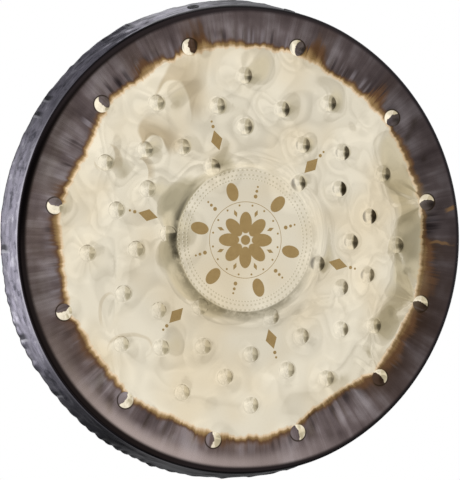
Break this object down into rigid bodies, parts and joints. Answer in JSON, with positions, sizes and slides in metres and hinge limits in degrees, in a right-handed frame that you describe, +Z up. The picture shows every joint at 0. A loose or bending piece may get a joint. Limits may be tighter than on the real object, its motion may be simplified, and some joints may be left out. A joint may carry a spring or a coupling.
{
  "type": "hanging gong",
  "caption": "Round hammered bronze gong with a raised boss, ball dents, a rounded shoulder, a turned-back flange and rubber grommets in its hanging holes.",
  "frame": {"origin": "middle of the flat front of the raised boss", "axes": "-Y out of the struck face, +Y towards the open back, +Z up to the hanging holes, X across"},
  "size_m": [0.8241, 0.0715, 0.824],
  "materials": {
    "bronze": "polished centre, dark oxidised ring and flange, hammered",
    "rubber": "satin"
  },
  "bodies": {
    "root": {"gong_plate": "bronze", "grommet_left": "rubber", "grommet_right": "rubber"}
  },
  "joints": []
}
